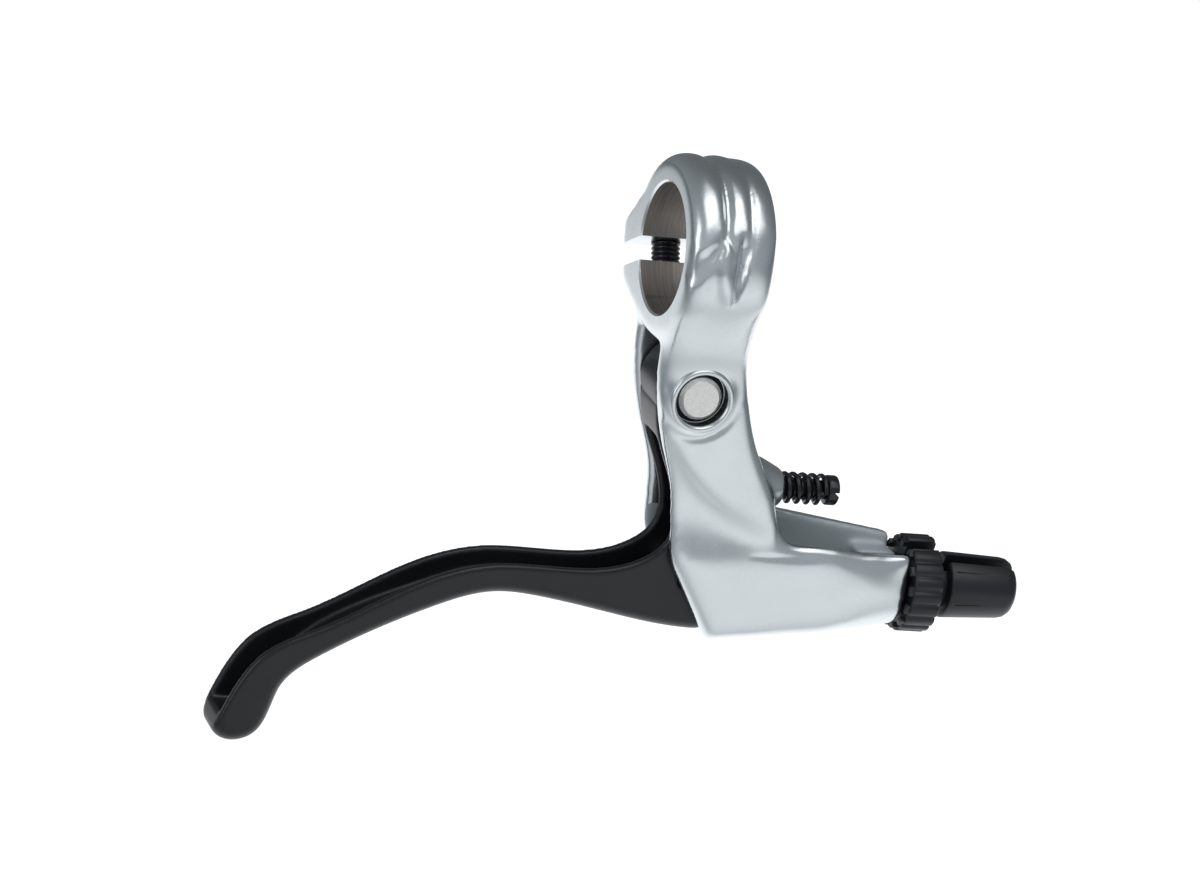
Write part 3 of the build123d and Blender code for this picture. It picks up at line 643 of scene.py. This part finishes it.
screw_outline += rounded(screw_length, screw_head_radius, screw_head_bevel, 1) + [(screw_length, 0)]
screw = turned("reach_screw_turned", screw_outline, Vector((screw_low.x, 0, reach_line.z)), along_bar)
screw_face = Vector((screw_high.x, 0, reach_line.z))
cut(screw, slab(screw_face, (2 * screw_slot_depth, 4 * screw_head_radius, screw_slot_width), 0))
soften(screw)
dress(screw, black_steel)
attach(screw, "reach_screw")
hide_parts("reach_screw")

# Reach spring: round black spring wire, coiled round the screw. It presses the screw's head away from the boss,
# and stretches between the two when the screw is turned out.
spring_low, spring_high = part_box("reach_spring")
wire_radius = 0.425 * mm
coil_radius = (spring_high.z - spring_low.z) / 2 - wire_radius
coil_turns = 4.5
end_turn = 0.5
end_pitch_share = 0.55
points_per_turn = 24
coil_length = spring_high.x - spring_low.x - 2 * wire_radius
coil = bpy.data.curves.new("spring_wire", "CURVE")
coil.dimensions = "3D"
coil.bevel_depth = wire_radius
coil.bevel_resolution = 4
coil.use_fill_caps = True
wire = coil.splines.new("POLY")
coil_points = int(coil_turns * points_per_turn) + 1
wire.points.add(coil_points - 1)
spread = coil_turns - 2 * end_turn * (1 - end_pitch_share)
for number, point in enumerate(wire.points):
    turn = number / points_per_turn
    slow = min(turn, end_turn) + max(turn - coil_turns + end_turn, 0)
    along = (turn - slow * (1 - end_pitch_share)) / spread * coil_length
    point.co = (spring_low.x + wire_radius + along, coil_radius * cos(2 * pi * turn),
                reach_line.z + coil_radius * sin(2 * pi * turn), 1)
spring = bpy.data.objects.new("reach_spring_coil", coil)
bpy.context.scene.collection.objects.link(spring)
pick(spring)
bpy.ops.object.convert(target="MESH")
spring = bpy.context.object
soften(spring, angle=60)
dress(spring, black_steel)
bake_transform(spring)
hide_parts("reach_spring")

# Adjuster barrel: turned from black anodised aluminium, threaded into the arm, hollow for the cable and its
# housing, and slotted along so that the cable slips in. Fine lines along it give the fingers hold.
barrel_low, barrel_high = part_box("adjuster_barrel")
grip_radius = (barrel_high.z - barrel_low.z) / 2
grip_end_radius = 5.35 * mm
grip_start = 14.1 * mm
grip_rim = 0.6 * mm
grip_end_round = 2.4 * mm
barrel_thread_radius = 4.2 * mm
barrel_pitch = 1.0 * mm
barrel_thread_depth = 0.35 * mm
thread_runout = 0.2 * mm
socket_radius = mounts["cable_housing"]["dims"]["r_mm"] * mm
socket_depth = mounts["cable_housing"]["dims"]["length_mm"] * mm
cable_hole_radius = 1.1 * mm
cable_slot_width = 2.1 * mm
cable_slot_turn = radians(17)
grip_lines = 6
grip_line_width = 0.16 * mm
grip_line_depth = 0.08 * mm
barrel_length = barrel_high.x - barrel_low.x
barrel_start = Vector((barrel_low.x, 0, cable_line.z))
barrel_outline = [(0, cable_hole_radius), (0, barrel_thread_radius - barrel_thread_depth)]
barrel_outline += rolled_thread(thread_runout, grip_start - thread_runout, barrel_thread_radius, barrel_pitch,
                                barrel_thread_depth)
barrel_outline += [(grip_start, barrel_thread_radius - barrel_thread_depth)]
barrel_outline += rounded(grip_start, grip_radius, grip_rim, -1)
barrel_outline += rounded(barrel_length, grip_end_radius, grip_end_round, 1)
barrel_outline += [(barrel_length, socket_radius), (barrel_length - socket_depth, socket_radius),
                   (barrel_length - socket_depth, cable_hole_radius), (0, cable_hole_radius)]
barrel = turned("adjuster_barrel_turned", barrel_outline, barrel_start, along_bar, steps=96)


def cable_slot(start, length, height):
    """A cutter for the slot that the cable slips through, from the cable line outwards."""
    outward = Vector((0, -sin(cable_slot_turn), cos(cable_slot_turn)))
    return slab(start + along_bar * length / 2 + outward * height / 2, (length + overcut, cable_slot_width, height),
                cable_slot_turn)


cut(barrel, cable_slot(barrel_start, barrel_length, 2 * grip_radius))
line_size = (barrel_length - grip_start - 4 * grip_rim, grip_line_width,
             grip_radius - grip_end_radius + 2 * grip_line_depth)
for number in range(grip_lines):
    line_turn = cable_slot_turn + (number + 0.5) * 2 * pi / grip_lines
    outward = Vector((0, -sin(line_turn), cos(line_turn)))
    line_middle = barrel_start + along_bar * (grip_start + barrel_length) / 2 + outward * grip_radius
    cut(barrel, slab(line_middle, line_size, line_turn))
soften(barrel)
black_grip = metal("black_grip", (0.013, 0.016, 0.018), metallic=0.0, roughness=0.40, grain=6000, bump=0.3)
dress(barrel, black_grip)
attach(barrel, "adjuster_barrel")
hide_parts("adjuster_barrel")

# Lock ring: black, ridged outside for the fingers and crowned with teeth towards the arm. It runs on the
# barrel's thread and is turned against the arm to hold the setting.
ring_low, ring_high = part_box("lock_ring")
ring_radius = (ring_high.z - ring_low.z) / 2
tooth_height = 0.8 * mm
ridges = 20
sides_per_ridge = 6
groove_corners = (3,)
shoulder_corners = (2, 4)
groove_depth = 0.5 * mm
shoulder_depth = 0.12 * mm
teeth = 14
tooth_width = 1.7 * mm
crown_inside = 7.0 * mm
crown_outside = 8.05 * mm
ring_bore = 4.3 * mm
ring_bevel = 0.3 * mm
tooth_bevel = 0.2 * mm
ring_start = Vector((ring_low.x + tooth_height, 0, cable_line.z))
ring_length = ring_high.x - ring_start.x
sides = ridges * sides_per_ridge
bpy.ops.object.select_all(action="DESELECT")
bpy.ops.mesh.primitive_cylinder_add(vertices=sides, radius=ring_radius, depth=ring_length)
lock_ring = bpy.context.object
lock_ring.matrix_world = (Matrix.Translation(ring_start + along_bar * ring_length / 2)
                          @ Matrix.Rotation(cable_slot_turn, 4, "X") @ Matrix.Rotation(pi / 2, 4, "Y"))
settle("lock_ring_ridged")


def sink(piece, chosen, depth):
    """Draws the chosen corners of the ring's rim towards the cable line."""
    pick(piece)
    bpy.ops.object.mode_set(mode="EDIT")
    bpy.ops.mesh.select_mode(type="VERT")
    bpy.ops.mesh.select_all(action="DESELECT")
    bpy.ops.object.mode_set(mode="OBJECT")
    for number, corner in enumerate(piece.data.vertices):
        corner.select = number // 2 % sides_per_ridge in chosen
    bpy.ops.object.mode_set(mode="EDIT")
    bpy.ops.transform.resize(value=(1, 1 - depth / ring_radius, 1 - depth / ring_radius), center_override=ring_start)
    bpy.ops.object.mode_set(mode="OBJECT")


sink(lock_ring, groove_corners, groove_depth)
sink(lock_ring, shoulder_corners, shoulder_depth)
apply(lock_ring, "BEVEL", width=ring_bevel, segments=3, limit_method="ANGLE", angle_limit=radians(60))
cut(lock_ring, bar(ring_bore, ring_start - along_bar * overcut, ring_start + along_bar * (ring_length + overcut)))
for number in range(teeth):
    tooth_turn = cable_slot_turn + (number + 0.5) * 2 * pi / teeth
    outward = Vector((0, -sin(tooth_turn), cos(tooth_turn)))
    tooth = slab(ring_start + outward * (crown_inside + crown_outside) / 2,
                 (2 * tooth_height, tooth_width, crown_outside - crown_inside), tooth_turn)
    apply(tooth, "BEVEL", width=tooth_bevel, segments=3)
    weld_on(lock_ring, tooth)
cut(lock_ring, cable_slot(ring_start, ring_length, 2 * ring_radius))
soften(lock_ring)
dress(lock_ring, black_grip)
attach(lock_ring, "lock_ring")
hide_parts("lock_ring")

# Studio: pale paper well below the hanging lever, with glow painted into it that the camera and the metal see,
# brightest behind it and in a pool in front of it; a broad soft lamp high in front, a narrower one on the left and a
# weak one overhead.
floor_drop = 0.19
floor_size = 8
bpy.ops.object.select_all(action="DESELECT")
bpy.ops.mesh.primitive_plane_add(size=floor_size, location=(0, 0, -floor_drop))
floor = settle("floor")
paper = bpy.data.materials.new("pale_paper")
paper.use_nodes = True
paper_nodes, paper_links = paper.node_tree.nodes, paper.node_tree.links
paper_shader = paper_nodes["Principled BSDF"]
paper_shader.inputs["Base Color"].default_value = (0.47, 0.51, 0.53, 1)
paper_shader.inputs["Roughness"].default_value = 0.9
paper_shader.inputs["Specular IOR Level"].default_value = 0.1
paper_shader.inputs["Emission Color"].default_value = (1, 1, 1, 1)


def paper_math(operation, first, second):
    """One step of arithmetic in the paper's material, on outputs or plain values."""
    step = paper_nodes.new("ShaderNodeMath")
    step.operation = operation
    for socket, value in zip(step.inputs, (first, second)):
        if isinstance(value, (int, float)):
            socket.default_value = value
        else:
            paper_links.new(value, socket)
    return step.outputs[0]


def paper_pool(middle, turn, reach, softness):
    """A soft oval pool of painted glow on the paper, 1 inside and 0 outside, with a rim of a softness up to 1."""
    place = paper_nodes.new("ShaderNodeTexCoord")
    mapping = paper_nodes.new("ShaderNodeMapping")
    mapping.vector_type = "TEXTURE"
    mapping.inputs["Location"].default_value = (*middle, -floor_drop)
    mapping.inputs["Rotation"].default_value = (0, 0, turn)
    mapping.inputs["Scale"].default_value = (*reach, 1)
    oval = paper_nodes.new("ShaderNodeTexGradient")
    oval.gradient_type = "SPHERICAL"
    soft = paper_nodes.new("ShaderNodeMapRange")
    soft.interpolation_type = "SMOOTHSTEP"
    soft.inputs["From Max"].default_value = softness
    paper_links.new(place.outputs["Object"], mapping.inputs["Vector"])
    paper_links.new(mapping.outputs["Vector"], oval.inputs["Vector"])
    paper_links.new(oval.outputs["Fac"], soft.inputs["Value"])
    return soft.outputs["Result"]


camera_turn = radians(-20.58)
back_glow = 0.95
front_glow = 0.68
back_pool = paper_pool(middle=(0.213, 0.60), turn=camera_turn, reach=(0.55, 0.85), softness=0.3)
front_pool = paper_pool(middle=(0.24, -0.62), turn=0, reach=(0.72, 1.0), softness=0.8)
rays = paper_nodes.new("ShaderNodeLightPath")
seen = paper_math("MAXIMUM", rays.outputs["Is Camera Ray"], rays.outputs["Is Glossy Ray"])
seen = paper_math("MAXIMUM", seen, rays.outputs["Is Transmission Ray"])
pools = paper_math("MAXIMUM", paper_math("MULTIPLY", back_pool, back_glow),
                   paper_math("MULTIPLY", front_pool, front_glow))
paper_links.new(paper_math("MULTIPLY", pools, seen), paper_shader.inputs["Emission Strength"])
dress(floor, paper)


def lamp(name, place, target, width, height, power):
    """A soft rectangular lamp, aimed at a point."""
    data = bpy.data.lights.new(name, "AREA")
    data.shape = "RECTANGLE"
    data.size = width
    data.size_y = height
    data.energy = power
    light = bpy.data.objects.new(name, data)
    bpy.context.scene.collection.objects.link(light)
    light.location = place
    light.rotation_euler = (Vector(target) - Vector(place)).to_track_quat("-Z", "Y").to_euler()


lever_middle = sum(cad_box, Vector()) / 2
lamp("front_lamp", (0.17, -0.66, 1.18), lever_middle, width=1.2, height=1.2, power=5.4)
lamp("left_lamp", (-1.2, -0.5, 0.3), lever_middle, width=0.6, height=0.9, power=2.5)
lamp("top_lamp", (0.2, -0.2, 1.4), lever_middle, width=0.8, height=0.8, power=1.0)

# Room round the stage: a dim, cool surround that fills the shadows and shows in the metal.
# It is brighter in front and on the left than behind and on the right.
room_tint = (0.92, 1.0, 1.05)
room_level = 0.32
room_swing = (-0.08, -0.13, -0.10)
world = bpy.data.worlds.new("studio_room")
bpy.context.scene.world = world
world.use_nodes = True
world_nodes, world_links = world.node_tree.nodes, world.node_tree.links
direction = world_nodes.new("ShaderNodeTexCoord")
swing = world_nodes.new("ShaderNodeVectorMath")
swing.operation = "DOT_PRODUCT"
swing.inputs[1].default_value = room_swing
level = world_nodes.new("ShaderNodeMath")
level.operation = "ADD"
level.inputs[1].default_value = room_level
world_links.new(direction.outputs["Generated"], swing.inputs[0])
world_links.new(swing.outputs["Value"], level.inputs[0])
tint = world_nodes.new("ShaderNodeVectorMath")
tint.operation = "SCALE"
tint.inputs[0].default_value = room_tint
world_links.new(level.outputs[0], tint.inputs["Scale"])
world_links.new(tint.outputs["Vector"], world_nodes["Background"].inputs["Color"])

# Camera: a long lens in front, to the left and above the lever, tilted so that the handlebar
# runs uphill to the right.
camera_height = radians(18.14)
camera_roll = radians(10.53)
camera_distance = 0.9
camera_lens = 161.2
camera_target = Vector((-15.2, -5.9, -33.2)) * mm
camera_data = bpy.data.cameras.new("camera")
camera_data.sensor_width = 36
camera_data.lens = camera_lens
camera = bpy.data.objects.new("camera", camera_data)
bpy.context.scene.collection.objects.link(camera)
aim = (Matrix.Rotation(camera_turn, 4, "Z") @ Matrix.Rotation(pi / 2 - camera_height, 4, "X")
       @ Matrix.Rotation(camera_roll, 4, "Z"))
camera.matrix_world = Matrix.Translation(camera_target + aim.col[2].xyz * camera_distance) @ aim
bpy.context.scene.camera = camera
bpy.context.scene.view_settings.view_transform = "Standard"
